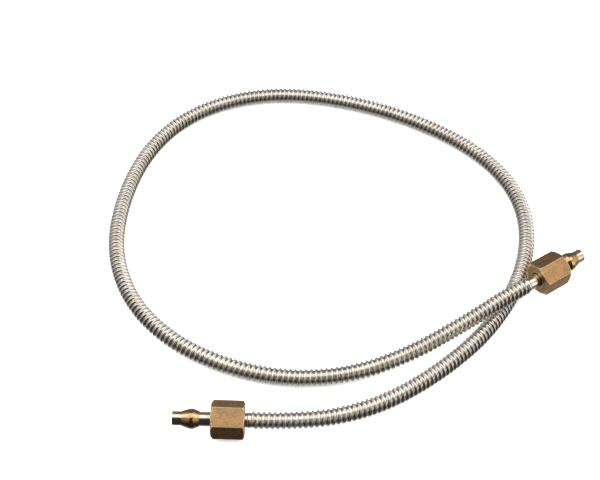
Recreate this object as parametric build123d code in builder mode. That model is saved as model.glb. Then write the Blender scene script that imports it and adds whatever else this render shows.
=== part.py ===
from build123d import *
import math
import os

# A corrugated stainless gas hose, lying in one loop, with a plain tube stub, a
# loose olive and a loose compression nut at each end. Millimetres, +Z up. The
# hose lies on Z = 0 and the origin is midway between its two end fittings.

# --- corrugated hose -------------------------------------------------------
HOSE_OD = 10.1  # over the crests of the corrugation
HOSE_BORE = 7.2
LIE = HOSE_OD / 2  # height of the centreline where the hose lies on the surface
# The route of the centreline, from end A round the loop to end B. The last few
# points climb over the first strand, which they cross between the two points
# before the last one. The hose leaves each end fitting along its first run.
ROUTE = [
    (-78, -60.5, 11),
    (-57, -60.5, 11),
    (-27, -54, 8.6),
    (2, -39, 6),
    (32, -15, LIE),
    (59, 14, LIE),
    (79, 49, LIE),
    (90, 86, LIE),
    (90, 124, LIE),
    (76, 158, LIE),
    (50, 186, LIE),
    (11, 210, LIE),
    (-31, 224, LIE),
    (-72, 228, LIE),
    (-109, 218, LIE),
    (-139, 195, LIE),
    (-159, 160, LIE),
    (-169, 115, LIE),
    (-169, 71, LIE),
    (-155, 31, LIE),
    (-129, 1, LIE),
    (-95, -18, LIE),
    (-58, -26, LIE),
    (-21, -22, 6.2),
    (12, -8, 9.2),
    (38, 8.5, 12.8),
    (56.5, 21.5, 15.3),
    (70.3, 32.7, 15.9),
    (82.6, 41.3, 16.7),
]
ARC_SHARE = 0.45  # share of the shorter run that each bend takes up

# --- plain stub tube and its weld ------------------------------------------
TUBE_OD = 8.0
TUBE_BORE = 6.0
TUBE_LENGTH = 43.7
TIP_CHAMFER = 0.3
WELD_LENGTH = 2.0
WELD_R = 4.35
WELD_EDGE_R = 4.12

# --- olive: a brass ring with a cone at each end ---------------------------
OLIVE_BORE_R = TUBE_OD / 2 + 0.05
OLIVE_LIP_R = 4.3
OLIVE_R = 5.7
OLIVE_BACK_CONE = 3.4
OLIVE_BAND = 1.8
OLIVE_FRONT_CONE = 4.5
OLIVE_LENGTH = OLIVE_BACK_CONE + OLIVE_BAND + OLIVE_FRONT_CONE

# --- compression nut --------------------------------------------------------
NUT_ACROSS_FLATS = 19.0
NUT_LENGTH = 18.8
NUT_CORNER_R = NUT_ACROSS_FLATS / math.sqrt(3)
# Radius of the round end face that the corner chamfer leaves, and its depth.
NUT_BACK_FACE_R, NUT_BACK_CHAMFER = 9.4, 0.8
NUT_FRONT_FACE_R, NUT_FRONT_CHAMFER = 9.2, 1.3
NUT_HOLE_R = 4.65
NUT_BACK_WALL = 4.0
THREAD_MINOR_R = 7.19  # M16 x 1.5
THREAD_MOUTH_R = 8.1
CONE_SEAT = THREAD_MINOR_R - NUT_HOLE_R  # a 45 degree seat, so as deep as it is wide

# --- where the loose pieces stand, measured along the tube from the hose ----
NUT_A_BACK, NUT_A_TURN = 3.4, 0.0
NUT_B_BACK, NUT_B_TURN = 9.15, 7.4
OLIVE_A_BACK = 28.5
OLIVE_B_BACK = 29.15

os.makedirs("parts", exist_ok=True)


def finish(piece, label):
    """Label a finished sub-part and write its STEP."""
    piece.part.label = label
    export_step(piece.part, f"parts/{label}.step")


def bend_radii(points):
    """The radius of the arc at each inner point of the route."""
    radii = []
    for before, here, after in zip(points, points[1:], points[2:]):
        arriving, leaving = here - before, after - here
        turn = math.radians(arriving.get_angle(leaving))
        shorter = min(arriving.length, leaving.length)
        radii.append(ARC_SHARE * shorter / math.tan(turn / 2))
    return radii


def end_plane(exit_point, inner_point):
    """A plane on the hose's end face: Z along the stub, outwards, and X upwards."""
    outwards = (exit_point - inner_point).normalized()
    sideways = outwards.cross(Vector(0, 0, 1))
    return Plane(origin=exit_point, x_dir=sideways.cross(outwards), z_dir=outwards)


def turned(plane, outline):
    """Revolve an outline of (distance along the stub, radius) points into the part."""
    along_stub = Plane(origin=plane.origin, x_dir=plane.z_dir, z_dir=-plane.y_dir)
    with BuildSketch(along_stub) as profile:
        with BuildLine():
            Polyline(*outline, close=True)
        make_face()
    revolve(profile.sketch, axis=Axis(plane.origin, plane.z_dir))


def stub_tube(plane, label):
    """The plain tube that carries the olive and the nut, chamfered at its tip."""
    outer, inner = TUBE_OD / 2, TUBE_BORE / 2
    with BuildPart() as tube:
        turned(plane, [
            (0, inner),
            (TUBE_LENGTH, inner),
            (TUBE_LENGTH, outer - TIP_CHAMFER),
            (TUBE_LENGTH - TIP_CHAMFER, outer),
            (0, outer),
        ])
    finish(tube, label)


def weld_ring(plane, label):
    """The bead of weld round the tube, against the end of the corrugation."""
    inner = TUBE_OD / 2
    with BuildPart() as ring:
        turned(plane, [
            (0, inner),
            (WELD_LENGTH, inner),
            (WELD_LENGTH, WELD_EDGE_R),
            (0.7 * WELD_LENGTH, WELD_R),
            (0.3 * WELD_LENGTH, WELD_R),
            (0, WELD_EDGE_R),
        ])
    finish(ring, label)


def olive(plane, back, label):
    """The double-coned brass ring, with its longer cone towards the tip."""
    with BuildPart() as ring:
        turned(plane, [
            (back, OLIVE_BORE_R),
            (back + OLIVE_LENGTH, OLIVE_BORE_R),
            (back + OLIVE_LENGTH, OLIVE_LIP_R),
            (back + OLIVE_BACK_CONE + OLIVE_BAND, OLIVE_R),
            (back + OLIVE_BACK_CONE, OLIVE_R),
            (back, OLIVE_LIP_R),
        ])
    finish(ring, label)


def nut_turning(plane, back):
    """The turned envelope of the nut: a bar whose end corners are chamfered."""
    front = back + NUT_LENGTH
    with BuildPart() as envelope:
        turned(plane, [
            (back, 0),
            (front, 0),
            (front, NUT_FRONT_FACE_R),
            (front - NUT_FRONT_CHAMFER, NUT_CORNER_R),
            (back + NUT_BACK_CHAMFER, NUT_CORNER_R),
            (back, NUT_BACK_FACE_R),
        ])
    return envelope.part


def nut_bore(plane, back):
    """The nut's inside: the hole for the tube, the cone seat and the thread's core."""
    front = back + NUT_LENGTH
    seat = back + NUT_BACK_WALL
    mouth = THREAD_MOUTH_R - THREAD_MINOR_R
    with BuildPart() as bore:
        turned(plane, [
            (back - 1, 0),
            (front + 1, 0),
            (front + 1, THREAD_MOUTH_R + 1),
            (front - mouth, THREAD_MINOR_R),
            (seat + CONE_SEAT, THREAD_MINOR_R),
            (seat, NUT_HOLE_R),
            (back - 1, NUT_HOLE_R),
        ])
    return bore.part


def compression_nut(plane, back, turn, label):
    """The hexagon nut, its thread's mouth towards the tip."""
    envelope = nut_turning(plane, back)
    bore = nut_bore(plane, back)
    with BuildPart() as nut:
        with BuildSketch(plane.offset(back)):
            RegularPolygon(NUT_CORNER_R, 6, rotation=turn)
        extrude(amount=NUT_LENGTH)
        add(envelope, mode=Mode.INTERSECT)
        add(bore, mode=Mode.SUBTRACT)
    finish(nut, label)


route = [Vector(*point) for point in ROUTE]
radii = bend_radii(route)
plane_a = end_plane(route[0], route[1])
plane_b = end_plane(route[-1], route[-2])

with BuildPart() as corrugated_hose:
    with BuildLine() as centreline:
        FilletPolyline(*route, radius=radii)
    with BuildSketch(plane_a):
        Circle(HOSE_OD / 2)
        Circle(HOSE_BORE / 2, mode=Mode.SUBTRACT)
    sweep(path=centreline.wires()[0])
finish(corrugated_hose, "corrugated_hose")

stub_tube(plane_a, "stub_tube_a")
stub_tube(plane_b, "stub_tube_b")
weld_ring(plane_a, "weld_ring_a")
weld_ring(plane_b, "weld_ring_b")
olive(plane_a, OLIVE_A_BACK, "olive_a")
olive(plane_b, OLIVE_B_BACK, "olive_b")
compression_nut(plane_a, NUT_A_BACK, NUT_A_TURN, "compression_nut_a")
compression_nut(plane_b, NUT_B_BACK, NUT_B_TURN, "compression_nut_b")

length = centreline.wires()[0].length
section = math.pi / 4 * (HOSE_OD**2 - HOSE_BORE**2)
print("bend radii:", [round(radius) for radius in radii])
print(f"hose length {length:.1f}")
print(f"hose volume {corrugated_hose.part.volume:.0f}, section times length {section * length:.0f}")
print("outwards along A and B:", plane_a.z_dir, plane_b.z_dir)
print("tips:", plane_a.offset(TUBE_LENGTH).origin, plane_b.offset(TUBE_LENGTH).origin)
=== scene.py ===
import math

import bmesh
import bpy
import numpy as np
from mathutils import Matrix, Vector


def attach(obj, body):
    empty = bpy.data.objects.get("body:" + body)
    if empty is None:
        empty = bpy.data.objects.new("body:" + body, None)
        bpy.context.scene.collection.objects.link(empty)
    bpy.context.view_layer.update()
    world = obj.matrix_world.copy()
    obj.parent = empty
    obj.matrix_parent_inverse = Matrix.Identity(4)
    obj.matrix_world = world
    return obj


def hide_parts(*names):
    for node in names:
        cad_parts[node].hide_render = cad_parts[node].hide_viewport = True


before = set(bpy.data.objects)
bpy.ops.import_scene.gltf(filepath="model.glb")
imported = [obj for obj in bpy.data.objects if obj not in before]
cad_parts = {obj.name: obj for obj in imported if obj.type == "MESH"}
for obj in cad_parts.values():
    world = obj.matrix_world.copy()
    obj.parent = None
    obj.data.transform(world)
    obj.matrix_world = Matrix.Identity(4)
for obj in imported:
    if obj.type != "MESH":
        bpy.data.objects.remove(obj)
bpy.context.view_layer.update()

MM = 0.001

# --- camera ----------------------------------------------------------------
CAMERA_AT = Vector((-53.6, -544.6, 651.05)) * MM
CAMERA_PITCH = math.radians(45.69)  # below the horizon
CAMERA_ROLL = math.radians(1.62)
SENSOR_WIDTH, LENS = 36, 86.16  # mm

# --- corrugated hose -------------------------------------------------------
# The route of the centreline in millimetres, from end A round to end B.
HOSE_D = 10.1
LIE = HOSE_D / 2
ROUTE = [
    (-78, -60.5, 11),
    (-57, -60.5, 11),
    (-27, -54, 8.6),
    (2, -39, 6),
    (32, -15, LIE),
    (59, 14, LIE),
    (79, 49, LIE),
    (90, 86, LIE),
    (90, 124, LIE),
    (76, 158, LIE),
    (50, 186, LIE),
    (11, 210, LIE),
    (-31, 224, LIE),
    (-72, 228, LIE),
    (-109, 218, LIE),
    (-139, 195, LIE),
    (-159, 160, LIE),
    (-169, 115, LIE),
    (-169, 71, LIE),
    (-155, 31, LIE),
    (-129, 1, LIE),
    (-95, -18, LIE),
    (-58, -26, LIE),
    (-21, -22, 6.2),
    (12, -8, 9.2),
    (38, 8.5, 12.8),
    (56.5, 21.5, 15.3),
    (70.3, 32.7, 15.9),
    (82.6, 41.3, 16.7),
]
CREST_R = HOSE_D / 2
ROOT_R = 3.85
PITCH = 3.06  # one turn of the left-handed helix
CREST_SHARPNESS = 1.25  # power of the raised cosine: above 1, crests are narrower than valleys
# Where the wall is sampled across one pitch, closest together at the crest.
ACROSS_PITCH = (0, 0.07, 0.15, 0.25, 0.38, 0.62, 0.75, 0.85, 0.93)
ROUND_HOSE = 32
LEAD_IN_TURNS, RUN_ON_TURNS = 3, 1  # made before and after the hose, and then cut off
RUN_OUT = 0.7  # length over which the crest dies away at each end
ROUTE_RESOLUTION = 48  # steps that the spline takes between two points of the route
CUT_TOLERANCE = 1e-6  # metres

# --- end fittings, measured along the stub from the end of the hose ---------
TUBE_R, TUBE_BORE_R, TUBE_LENGTH = 4.0, 3.0, 43.7
WELD_LENGTH, WELD_R, WELD_TOE_R = 2.0, 4.35, 4.12
WELD_CROWN = (0.3, 0.7)  # the part of the weld's length that is at its full radius
OLIVE_BORE_R, OLIVE_LIP_R, OLIVE_R = 4.05, 4.3, 5.7
OLIVE_BACK_CONE, OLIVE_BAND, OLIVE_FRONT_CONE = 3.4, 1.8, 4.5
NUT_FLAT_R, NUT_LENGTH = 9.5, 18.8
NUT_CORNER_R = NUT_FLAT_R * 2 / math.sqrt(3)
NUT_BACK_FACE_R, NUT_BACK_CHAMFER = 9.4, 0.8
NUT_FRONT_FACE_R, NUT_FRONT_CHAMFER = 9.2, 1.3
NUT_HOLE_R, NUT_BACK_WALL = 4.65, 4.0
THREAD_CORE_R, THREAD_DEPTH, THREAD_PITCH = 7.19, 0.8, 1.5
THREAD_MOUTH_R = 8.1
CONE_SEAT_END = NUT_BACK_WALL + THREAD_CORE_R - NUT_HOLE_R  # a 45 degree seat
THREAD_START, THREAD_START_FADE = CONE_SEAT_END + 1.0, 1.0
THREAD_FINISH, THREAD_FINISH_FADE = NUT_LENGTH - 1.2, 0.8
TUBE_EDGE, WELD_EDGE, OLIVE_EDGE, NUT_EDGE = 0.2, 0.3, 0.15, 0.2  # how far the edges are broken
# How far out each nut's and olive's back face is, and the nut's turn in degrees.
ENDS = {
    "a": {"exit": ROUTE[0], "before": ROUTE[1], "nut": 3.4, "turn": 0.0, "olive": 28.5},
    "b": {"exit": ROUTE[-1], "before": ROUTE[-2], "nut": 9.15, "turn": 7.4, "olive": 29.15},
}


def make_camera():
    data = bpy.data.cameras.new("camera")
    data.sensor_width = SENSOR_WIDTH
    data.lens = LENS
    camera = bpy.data.objects.new("camera", data)
    bpy.context.scene.collection.objects.link(camera)
    tilt = Matrix.Rotation(math.pi / 2 - CAMERA_PITCH, 4, "X")
    roll = Matrix.Rotation(CAMERA_ROLL, 4, "Z")
    camera.matrix_world = Matrix.Translation(CAMERA_AT) @ tilt @ roll
    bpy.context.scene.camera = camera


def link_mesh(name, mesh):
    piece = bpy.data.objects.new(name, mesh)
    bpy.context.scene.collection.objects.link(piece)
    return piece


# --- the hose ----------------------------------------------------------------
def centreline():
    """Points close together along the route's NURBS spline, in metres."""
    curve = bpy.data.curves.new("route", "CURVE")
    curve.dimensions = "3D"
    curve.resolution_u = ROUTE_RESOLUTION
    spline = curve.splines.new("NURBS")
    spline.points.add(len(ROUTE) - 1)
    for point, place in zip(spline.points, ROUTE):
        point.co = (*(Vector(place) * MM), 1)
    spline.order_u = 3
    spline.use_endpoint_u = True
    carrier = bpy.data.objects.new("route", curve)
    bpy.context.scene.collection.objects.link(carrier)
    mesh = bpy.data.meshes.new_from_object(carrier)
    points = np.array([vertex.co for vertex in mesh.vertices])
    bpy.data.objects.remove(carrier)
    bpy.data.meshes.remove(mesh)
    return points


def unit(vectors):
    return vectors / np.linalg.norm(vectors, axis=-1, keepdims=True)


def travelling_frame(points):
    """Distance, tangent and an untwisted side direction at each point of a line."""
    lengths = np.linalg.norm(np.diff(points, axis=0), axis=1)
    distance = np.concatenate([[0], np.cumsum(lengths)])
    tangent = unit(np.gradient(points, distance, axis=0))
    side = np.empty_like(points)
    side[0] = unit(np.cross(tangent[0], (0, 0, 1)))
    for i in range(1, len(points)):
        side[i] = unit(side[i - 1] - tangent[i] * np.dot(side[i - 1], tangent[i]))
    return distance, tangent, side


def straight_corrugation(length):
    """The corrugated wall along a straight Z axis, its mesh lines on the helix."""
    turns = math.ceil(length / (PITCH * MM)) + LEAD_IN_TURNS + RUN_ON_TURNS
    count = turns * ROUND_HOSE
    across = len(ACROSS_PITCH)
    place = np.arange(count + ROUND_HOSE + 1)[:, None] / ROUND_HOSE
    share = np.array(ACROSS_PITCH)[None, :]
    along = (place + share - LEAD_IN_TURNS) * PITCH * MM
    angle = np.broadcast_to(-2 * math.pi * place, along.shape)
    rise = (0.5 + 0.5 * np.cos(2 * math.pi * share)) ** CREST_SHARPNESS
    ends = np.clip(np.minimum(along, length - along) / (RUN_OUT * MM), 0, 1)
    radius = (ROOT_R + (CREST_R - ROOT_R) * rise * ends) * MM
    xyz = np.stack([radius * np.cos(angle), radius * np.sin(angle), along], axis=-1)
    here = np.arange(count)[:, None] * across + np.arange(across)[None, :]
    ahead = here + 1
    ahead[:, -1] = here[:, 0] + ROUND_HOSE * across
    faces = np.stack([here, here + across, ahead + across, ahead], axis=-1)
    mesh = bpy.data.meshes.new("hose_corrugated")
    mesh.from_pydata(xyz.reshape(-1, 3), [], faces.reshape(-1, 4)[:, ::-1])
    return mesh


def trim_ends(mesh, length):
    """Cut the helix off square at both ends, and close them."""
    bm = bmesh.new()
    bm.from_mesh(mesh)
    for at, outwards in ((0, -1), (length, 1)):
        everything = bm.verts[:] + bm.edges[:] + bm.faces[:]
        cut = bmesh.ops.bisect_plane(
            bm,
            geom=everything,
            dist=CUT_TOLERANCE,
            plane_co=(0, 0, at),
            plane_no=(0, 0, outwards),
            clear_outer=True,
        )
        rim = [item for item in cut["geom_cut"] if isinstance(item, bmesh.types.BMEdge)]
        bmesh.ops.edgeloop_fill(bm, edges=rim)
    loose = [vertex for vertex in bm.verts if not vertex.link_faces]
    bmesh.ops.delete(bm, geom=loose, context="VERTS")
    bmesh.ops.recalc_face_normals(bm, faces=bm.faces)
    bm.to_mesh(mesh)
    bm.free()


def bend_along(mesh, line):
    """Carry a mesh from the Z axis onto a line. Its "flow" attribute notes, for each point, how
    far along and how far round it is, and its height from valley (0) to crest (1)."""
    distance, tangent, side = travelling_frame(line)
    xyz = np.empty(len(mesh.vertices) * 3)
    mesh.vertices.foreach_get("co", xyz)
    xyz = xyz.reshape(-1, 3)
    along = np.clip(xyz[:, 2], 0, distance[-1])

    def read(values):
        return np.stack([np.interp(along, distance, column) for column in values.T], axis=-1)

    ahead = unit(read(tangent))
    across = read(side)
    across = unit(across - ahead * np.sum(ahead * across, axis=1)[:, None])
    upright = np.cross(ahead, across)
    bent = read(line) + across * xyz[:, :1] + upright * xyz[:, 1:2]
    radius = np.hypot(xyz[:, 0], xyz[:, 1])
    height = (radius / MM - ROOT_R) / (CREST_R - ROOT_R)
    turn = np.arctan2(xyz[:, 1], xyz[:, 0])
    flow = mesh.attributes.new("flow", "FLOAT_VECTOR", "POINT")
    flow.data.foreach_set("vector", np.stack([along, turn, height], axis=-1).ravel())
    mesh.vertices.foreach_set("co", bent.ravel())
    mesh.update()


def make_hose():
    line = centreline()
    length = np.linalg.norm(np.diff(line, axis=0), axis=1).sum()
    mesh = straight_corrugation(length)
    trim_ends(mesh, length)
    bend_along(mesh, line)
    mesh.shade_smooth()
    return link_mesh("hose_corrugated", mesh), line


# --- turned pieces -------------------------------------------------------------
FACE_AREA_WEIGHT = 100  # the most that the modifier takes
LARGEST_CUT = 0.4  # share of a side that the rounding of one of its corners may use


def keep_faces_flat(piece):
    """Large faces keep their own normals, so that only the broken edges shade round."""
    normals = piece.modifiers.new("flat faces stay flat", "WEIGHTED_NORMAL")
    normals.weight = FACE_AREA_WEIGHT


def rounded(outline, radius, steps=3):
    """A closed outline with each corner replaced by a small arc, cut shorter on short sides."""
    made = []
    count = len(outline)
    for i, corner in enumerate(outline):
        here = Vector(corner)
        to_last = Vector(outline[i - 1]) - here
        to_next = Vector(outline[(i + 1) % count]) - here
        cut = min(radius, LARGEST_CUT * to_last.length, LARGEST_CUT * to_next.length)
        first = here + to_last.normalized() * cut
        last = here + to_next.normalized() * cut
        for step in range(steps + 1):
            t = step / steps
            made.append(first * (1 - t) ** 2 + here * 2 * t * (1 - t) + last * t**2)
    return made


def lathe(name, outline, around=96):
    """Spin a closed outline of (distance along, radius) points, in mm, round the X axis."""
    bm = bmesh.new()
    rings = []
    for i in range(around):
        angle = 2 * math.pi * i / around
        c, s = math.cos(angle), math.sin(angle)
        rings.append([bm.verts.new(Vector((x, -r * s, r * c)) * MM) for x, r in outline])
    skin(bm, rings)
    mesh = bpy.data.meshes.new(name)
    bm.to_mesh(mesh)
    bm.free()
    mesh.shade_smooth()
    piece = link_mesh(name, mesh)
    keep_faces_flat(piece)
    return piece


def skin(bm, rings):
    """Quads between neighbouring rings, closed both ways."""
    for ring, following in zip(rings, rings[1:] + rings[:1]):
        for j in range(len(ring)):
            k = (j + 1) % len(ring)
            bm.faces.new((ring[j], ring[k], following[k], following[j]))
    bmesh.ops.recalc_face_normals(bm, faces=bm.faces)


def make_tube(end):
    outline = [(0, TUBE_BORE_R), (TUBE_LENGTH, TUBE_BORE_R), (TUBE_LENGTH, TUBE_R), (0, TUBE_R)]
    return lathe(f"tube_{end}", rounded(outline, TUBE_EDGE))


def make_weld(end):
    crown_start, crown_stop = (share * WELD_LENGTH for share in WELD_CROWN)
    bead = [
        (0, TUBE_R),
        (WELD_LENGTH, TUBE_R),
        (WELD_LENGTH, WELD_TOE_R),
        (crown_stop, WELD_R),
        (crown_start, WELD_R),
        (0, WELD_TOE_R),
    ]
    return lathe(f"weld_{end}", rounded(bead, WELD_EDGE))


def make_olive(end):
    back = ENDS[end]["olive"]
    band = back + OLIVE_BACK_CONE
    front = band + OLIVE_BAND
    tip = front + OLIVE_FRONT_CONE
    outline = [
        (back, OLIVE_BORE_R),
        (tip, OLIVE_BORE_R),
        (tip, OLIVE_LIP_R),
        (front, OLIVE_R),
        (band, OLIVE_R),
        (back, OLIVE_LIP_R),
    ]
    return lathe(f"olive_ring_{end}", rounded(outline, OLIVE_EDGE))


# --- compression nuts ----------------------------------------------------------
FLAT_SHARES = (-1, -0.88, -0.7, -0.45, -0.15, 0.15, 0.45, 0.7, 0.88)  # columns across a flat
ALONG_FLAT = (0, 0.04, 0.2, 0.4, 0.6, 0.8, 0.96, 1)  # rows along it
BORE_STEPS = 76


def hexagon_columns():
    """(angle, outer radius) of each column of the nut, with one on every corner."""
    columns = []
    for flat in range(6):
        for share in FLAT_SHARES:
            off_centre = math.atan(share * math.tan(math.pi / 6))
            angle = math.radians(30 + 60 * flat) + off_centre
            columns.append((angle, NUT_FLAT_R / math.cos(off_centre)))
    return columns


def flat_ends(radius):
    """Where a column of this outer radius leaves one chamfer and enters the other."""
    back = (radius - NUT_BACK_FACE_R) / (NUT_CORNER_R - NUT_BACK_FACE_R)
    front = (radius - NUT_FRONT_FACE_R) / (NUT_CORNER_R - NUT_FRONT_FACE_R)
    return back * NUT_BACK_CHAMFER, NUT_LENGTH - front * NUT_FRONT_CHAMFER


def thread_radius(x, angle):
    """Radius of the internal thread, which fades out at its mouth and at its root."""
    fade_in = (x - THREAD_START) / THREAD_START_FADE
    fade_out = (THREAD_FINISH - x) / THREAD_FINISH_FADE
    fade = max(0.0, min(1.0, fade_in, fade_out))
    phase = (x / THREAD_PITCH - angle / (2 * math.pi)) % 1
    return THREAD_CORE_R + THREAD_DEPTH * fade * (1 - abs(2 * phase - 1))


def nut_rows(columns):
    """Rows of (x, radius) pairs, one pair per column: round the outside, then the bore."""
    def plain(x, radius):
        return [(x, radius)] * len(columns)

    half_way = (NUT_HOLE_R + NUT_BACK_FACE_R) / 2
    rows = [plain(0, NUT_HOLE_R), plain(0, half_way), plain(0, NUT_BACK_FACE_R)]
    for share in ALONG_FLAT:
        row = []
        for _, radius in columns:
            start, stop = flat_ends(radius)
            row.append((start + share * (stop - start), radius))
        rows.append(row)
    rows.append(plain(NUT_LENGTH, NUT_FRONT_FACE_R))
    rows.append(plain(NUT_LENGTH, THREAD_MOUTH_R))
    mouth = NUT_LENGTH - (THREAD_MOUTH_R - THREAD_CORE_R)
    for step in range(BORE_STEPS + 1):
        x = mouth + (CONE_SEAT_END - mouth) * step / BORE_STEPS
        rows.append([(x, thread_radius(x, angle)) for angle, _ in columns])
    rows.append(plain(NUT_BACK_WALL, NUT_HOLE_R))
    return rows


# Rows of nut_rows: where the flats start and stop, and all those whose edges are broken.
FLAT_START = 3
FLAT_STOP = FLAT_START + len(ALONG_FLAT) - 1
OUTER_CREASES = (0, 2, FLAT_START, FLAT_STOP, FLAT_STOP + 1, FLAT_STOP + 2)


def make_nut(end):
    back, turn = ENDS[end]["nut"], math.radians(ENDS[end]["turn"])
    columns = hexagon_columns()
    bm = bmesh.new()
    wear = bm.verts.layers.float.new("wear")
    rings = []
    for row in nut_rows(columns):
        ring = []
        for (angle, _), (x, radius) in zip(columns, row):
            c, s = math.cos(angle + turn), math.sin(angle + turn)
            ring.append(bm.verts.new(Vector((back + x, -radius * s, radius * c)) * MM))
        rings.append(ring)
    skin(bm, rings)
    bevel_nut(bm, rings, wear)
    mesh = bpy.data.meshes.new(f"nut_{end}")
    bm.to_mesh(mesh)
    bm.free()
    mesh.shade_smooth()
    nut = link_mesh(f"nut_{end}", mesh)
    keep_faces_flat(nut)
    return nut


def bevel_nut(bm, rings, wear):
    """Break the nut's outer edges, and mark the broken edges as worn."""
    edges = []
    for row in OUTER_CREASES:
        ring = rings[row]
        edges += [bm.edges.get((ring[j - 1], ring[j])) for j in range(len(ring))]
    for column in range(0, len(rings[0]), len(FLAT_SHARES)):
        for row in range(FLAT_START, FLAT_STOP):
            edges.append(bm.edges.get((rings[row][column], rings[row + 1][column])))
    made = bmesh.ops.bevel(
        bm,
        geom=edges,
        offset=NUT_EDGE * MM,
        offset_type="OFFSET",
        segments=3,
        profile=0.5,
        affect="EDGES",
        clamp_overlap=True,
    )
    for face in made["faces"]:
        for vertex in face.verts:
            vertex[wear] = 1.0


def end_matrix(end):
    """The fitting's own frame: X outwards along the stub, Z as near upwards as it goes."""
    place = Vector(ENDS[end]["exit"])
    outwards = (place - Vector(ENDS[end]["before"])).normalized()
    sideways = Vector((0, 0, 1)).cross(outwards).normalized()
    upwards = outwards.cross(sideways)
    turned = Matrix((outwards, sideways, upwards)).transposed().to_4x4()
    return Matrix.Translation(place * MM) @ turned


# --- materials -------------------------------------------------------------------
# Noise scales are per metre, and bump distances are in metres.
COLOUR_A, COLOUR_B, COLOUR_OUT = 6, 7, 2  # sockets of a Mix node that mixes colours
NOISE_ROUGHNESS = 0.55


class Nodes:
    """Adds nodes to a node tree. Inputs are given as values or as other nodes' sockets."""

    def __init__(self, tree):
        self.nodes, self.links = tree.nodes, tree.links

    def feed(self, socket, value):
        if isinstance(value, bpy.types.NodeSocket):
            self.links.new(value, socket)
        else:
            socket.default_value = value

    def add(self, kind, settings=None, **inputs):
        made = self.nodes.new(kind)
        for key, value in (settings or {}).items():
            setattr(made, key, value)
        for key, value in inputs.items():
            self.feed(made.inputs[key.replace("_", " ")], value)
        return made

    def math(self, operation, first, second):
        made = self.add("ShaderNodeMath", {"operation": operation})
        self.feed(made.inputs[0], first)
        self.feed(made.inputs[1], second)
        return made.outputs[0]

    def spread(self, value, low, high, to_low=0.0, to_high=1.0, curve="LINEAR"):
        """Stretch the part of a value between low and high, and clamp it."""
        made = self.add(
            "ShaderNodeMapRange",
            {"interpolation_type": curve},
            Value=value,
            From_Min=low,
            From_Max=high,
            To_Min=to_low,
            To_Max=to_high,
        )
        return made.outputs["Result"]

    def mix(self, share, first, second, blend="MIX"):
        made = self.add("ShaderNodeMix", {"data_type": "RGBA", "blend_type": blend}, Factor=share)
        self.feed(made.inputs[COLOUR_A], first)
        self.feed(made.inputs[COLOUR_B], second)
        return made.outputs[COLOUR_OUT]


class Metal(Nodes):
    """A metal finish under construction: one Principled node and what feeds it."""

    def __init__(self, name):
        self.material = bpy.data.materials.new(name)
        self.material.use_nodes = True
        super().__init__(self.material.node_tree)
        self.surface = self.nodes["Principled BSDF"]
        self.surface.inputs["Metallic"].default_value = 1.0

    def place(self):
        return self.add("ShaderNodeTexCoord").outputs["Object"]

    def attribute(self, name, output):
        return self.add("ShaderNodeAttribute", {"attribute_name": name}).outputs[output]

    def stretched(self, vector, scale):
        return self.add("ShaderNodeMapping", Vector=vector, Scale=scale).outputs["Vector"]

    def noise(self, vector, scale, detail=3.0):
        made = self.add(
            "ShaderNodeTexNoise",
            Vector=vector,
            Scale=scale,
            Detail=detail,
            Roughness=NOISE_ROUGHNESS,
        )
        return made.outputs["Fac"]

    def colour(self, value):
        self.feed(self.surface.inputs["Base Color"], value)

    def rough(self, value):
        self.feed(self.surface.inputs["Roughness"], value)

    def bump(self, height, distance, strength):
        made = self.add("ShaderNodeBump", Height=height, Distance=distance, Strength=strength)
        self.feed(self.surface.inputs["Normal"], made.outputs["Normal"])


def hose_steel():
    s = Metal("hose steel")
    flow = s.attribute("flow", "Vector")
    height = s.add("ShaderNodeSeparateXYZ", Vector=flow).outputs["Z"]
    place = s.place()
    smudges = s.spread(s.noise(place, 90), 0.35, 0.7)
    grain = s.noise(place, 2600, detail=2)
    # Painted shade: the valleys are coloured darker than the crests, to stand for the shade in the
    # hollows of the corrugation. The smudges are random tone on both.
    valley = s.mix(smudges, (0.46, 0.42, 0.37, 1), (0.60, 0.56, 0.50, 1))
    crest = s.mix(smudges, (0.82, 0.79, 0.74, 1), (0.92, 0.89, 0.85, 1))
    s.colour(s.mix(s.spread(height, 0.1, 0.8), valley, crest))
    s.rough(s.spread(grain, 0.3, 0.7, 0.20, 0.30))
    s.bump(grain, 0.00003, 0.4)
    return s.material


def tube_steel():
    s = Metal("drawn tube steel")
    place = s.place()
    drawn = s.noise(s.stretched(place, (60, 2600, 2600)), 1.0, detail=4)
    patches = s.spread(s.noise(place, 240), 0.35, 0.7)
    s.colour(s.mix(patches, (0.50, 0.44, 0.36, 1), (0.78, 0.74, 0.68, 1)))
    s.rough(s.spread(drawn, 0.3, 0.7, 0.14, 0.26))
    s.bump(drawn, 0.00002, 0.5)
    return s.material


def weld_steel():
    s = Metal("weld bead steel")
    place = s.place()
    ripple = s.noise(place, 1400, detail=2)
    tint = s.spread(s.noise(place, 500), 0.35, 0.65)
    s.colour(s.mix(tint, (0.70, 0.64, 0.54, 1), (0.88, 0.86, 0.83, 1)))
    s.rough(s.spread(ripple, 0.3, 0.7, 0.18, 0.30))
    s.bump(ripple, 0.00008, 0.6)
    return s.material


def olive_brass():
    s = Metal("turned olive brass")
    place = s.place()
    turned = s.noise(s.stretched(place, (5200, 40, 40)), 1.0, detail=3)
    tarnish = s.spread(s.noise(place, 420), 0.40, 0.72)
    s.colour(s.mix(tarnish, (0.56, 0.37, 0.185, 1), (0.34, 0.21, 0.105, 1)))
    s.rough(s.spread(turned, 0.3, 0.7, 0.15, 0.26))
    s.bump(turned, 0.000006, 0.3)
    return s.material


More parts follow.
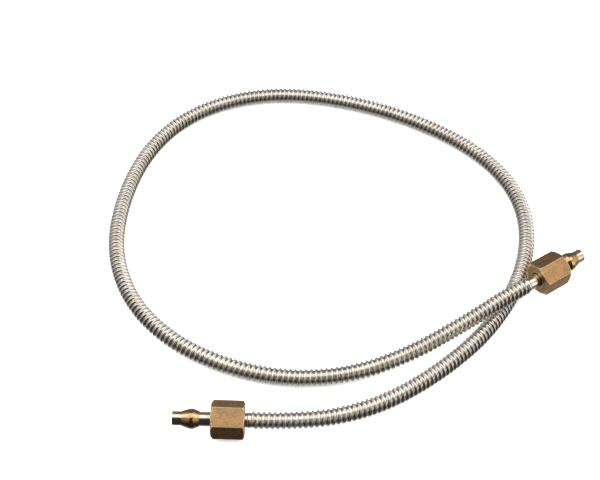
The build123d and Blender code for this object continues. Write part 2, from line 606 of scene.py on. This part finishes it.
def nut_brass():
    s = Metal("aged nut brass")
    place = s.place()
    speckle = s.spread(s.noise(place, 1500, detail=2), 0.35, 0.65)
    patina = s.spread(s.noise(place, 260, detail=4), 0.42, 0.68)
    aged = s.mix(speckle, (0.40, 0.235, 0.105, 1), (0.62, 0.38, 0.185, 1))
    stained = s.mix(s.math("MULTIPLY", patina, 0.55), aged, (0.22, 0.16, 0.11, 1))
    chips = s.spread(s.noise(place, 900, detail=3), 0.36, 0.52)
    edges = s.math("POWER", s.attribute("wear", "Fac"), 6.0)
    worn = s.math("MULTIPLY", edges, chips)
    s.colour(s.mix(worn, stained, (0.98, 0.80, 0.52, 1)))
    s.rough(s.spread(speckle, 0, 1, 0.34, 0.48))
    s.bump(s.noise(place, 1500, detail=2), 0.00006, 0.5)
    return s.material


def dress(piece, material):
    piece.data.materials.clear()
    piece.data.materials.append(material)


# --- stage -----------------------------------------------------------------------
FLOOR_HALF = 6.0  # metres
FLOOR_COLOUR = (0.93, 0.93, 0.93, 1)
OVERHEAD_PLACE, OVERHEAD_TARGET = (-0.25, -0.04, 0.9), (-0.25, -0.04, 0)
OVERHEAD_SIZE = (1.9, 0.87)
OVERHEAD_POWER = 8.6  # watts
OVERHEAD_COLOUR = (1, 0.985, 0.96)
WHITE_ROOM = (2.6, 2.6, 2.6, 1)  # what everything but a reflection sees

# The room that metal reflects: its surfaces' brightness, where 1 is plain white, and the limits
# of each. A limit is an axis of the direction looked in, the value where the surface has faded
# into the dark, and the value where it is fully lit.
DARK_ROOM = 0.04
WALL_LIMITS = [("up", -0.3, 0.05), ("back", 0.8, 0.45), ("back", -0.9, -0.55)]
LAMP_LIMITS = [
    ("right", 0.5, 0.85),
    ("up", -0.3, 0.0),
    ("up", 0.6, 0.35),
    ("back", -0.1, -0.35),
    ("back", -0.75, -0.5),
]
REFLECTED_ROOM = {
    "left wall": (0.5, [("right", -0.15, -0.6), *WALL_LIMITS]),
    "right wall": (0.8, [("right", 0.15, 0.6), *WALL_LIMITS]),
    "lamp at the front right": (0.9, LAMP_LIMITS),
    "dim far wall": (0.18, [("back", -0.6, 0.2)]),
    "table, dark in front": (0.34, [("up", -0.15, -0.5), ("back", -0.65, 0.1)]),
}
REFLECTED_TINT = (1.0, 0.95, 0.89, 1)


def make_floor():
    mesh = bpy.data.meshes.new("floor")
    corners = [(x * FLOOR_HALF, y * FLOOR_HALF, 0) for x, y in ((-1, -1), (1, -1), (1, 1), (-1, 1))]
    mesh.from_pydata(corners, [], [(0, 1, 2, 3)])
    floor = link_mesh("floor", mesh)
    material = bpy.data.materials.new("pale floor")
    material.use_nodes = True
    surface = material.node_tree.nodes["Principled BSDF"]
    surface.inputs["Base Color"].default_value = FLOOR_COLOUR
    surface.inputs["Roughness"].default_value = 0.9
    surface.inputs["Specular IOR Level"].default_value = 0.0
    mesh.materials.append(material)
    floor.visible_glossy = False


def make_overhead():
    light = bpy.data.lights.new("overhead", "AREA")
    light.shape = "RECTANGLE"
    light.size, light.size_y = OVERHEAD_SIZE
    light.energy = OVERHEAD_POWER
    light.color = OVERHEAD_COLOUR
    lamp = bpy.data.objects.new("overhead", light)
    bpy.context.scene.collection.objects.link(lamp)
    aim = Vector(OVERHEAD_TARGET) - Vector(OVERHEAD_PLACE)
    lamp.location = OVERHEAD_PLACE
    lamp.rotation_euler = aim.to_track_quat("-Z", "Y").to_euler()
    lamp.visible_camera = False


def make_world():
    """Reflections see the reflected room, and everything else sees an even white one."""
    world = bpy.data.worlds.new("studio")
    bpy.context.scene.world = world
    world.use_nodes = True
    world.cycles.sampling_method = "NONE"
    world.node_tree.nodes.clear()
    w = Nodes(world.node_tree)
    looking = w.add("ShaderNodeTexCoord").outputs["Generated"]
    directions = w.add("ShaderNodeSeparateXYZ", Vector=looking).outputs
    axes = dict(zip(("right", "back", "up"), directions))
    level = DARK_ROOM
    for brightness, limits in REFLECTED_ROOM.values():
        part = brightness
        for axis, dark, lit in limits:
            part = w.math("MULTIPLY", part, w.spread(axes[axis], dark, lit, curve="SMOOTHSTEP"))
        level = w.math("ADD", level, part)
    reflected = w.mix(1.0, level, REFLECTED_TINT, blend="MULTIPLY")
    in_reflection = w.add("ShaderNodeLightPath").outputs["Is Glossy Ray"]
    seen = w.mix(in_reflection, WHITE_ROOM, reflected)
    background = w.add("ShaderNodeBackground", Color=seen).outputs["Background"]
    w.add("ShaderNodeOutputWorld", Surface=background)


def make_lights():
    make_world()
    make_overhead()
    bpy.context.scene.view_settings.view_transform = "Standard"


# --- assembly --------------------------------------------------------------------
make_camera()
hose, line = make_hose()
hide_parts("corrugated_hose")
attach(hose, "hose")
dress(hose, hose_steel())

steel, bead, yellow_brass, aged_brass = tube_steel(), weld_steel(), olive_brass(), nut_brass()
for end in ENDS:
    made = [
        (make_tube(end), f"stub_tube_{end}", "hose", steel, "tube_steel"),
        (make_weld(end), f"weld_ring_{end}", "hose", bead, "weld_steel"),
        (make_olive(end), f"olive_{end}", f"olive_{end}", yellow_brass, "olive_brass"),
        (make_nut(end), f"compression_nut_{end}", f"nut_{end}", aged_brass, "nut_brass"),
    ]
    for piece, node, body, material, slot in made:
        piece.matrix_world = end_matrix(end)
        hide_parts(node)
        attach(piece, body)
        dress(piece, material)

make_floor()
make_lights()
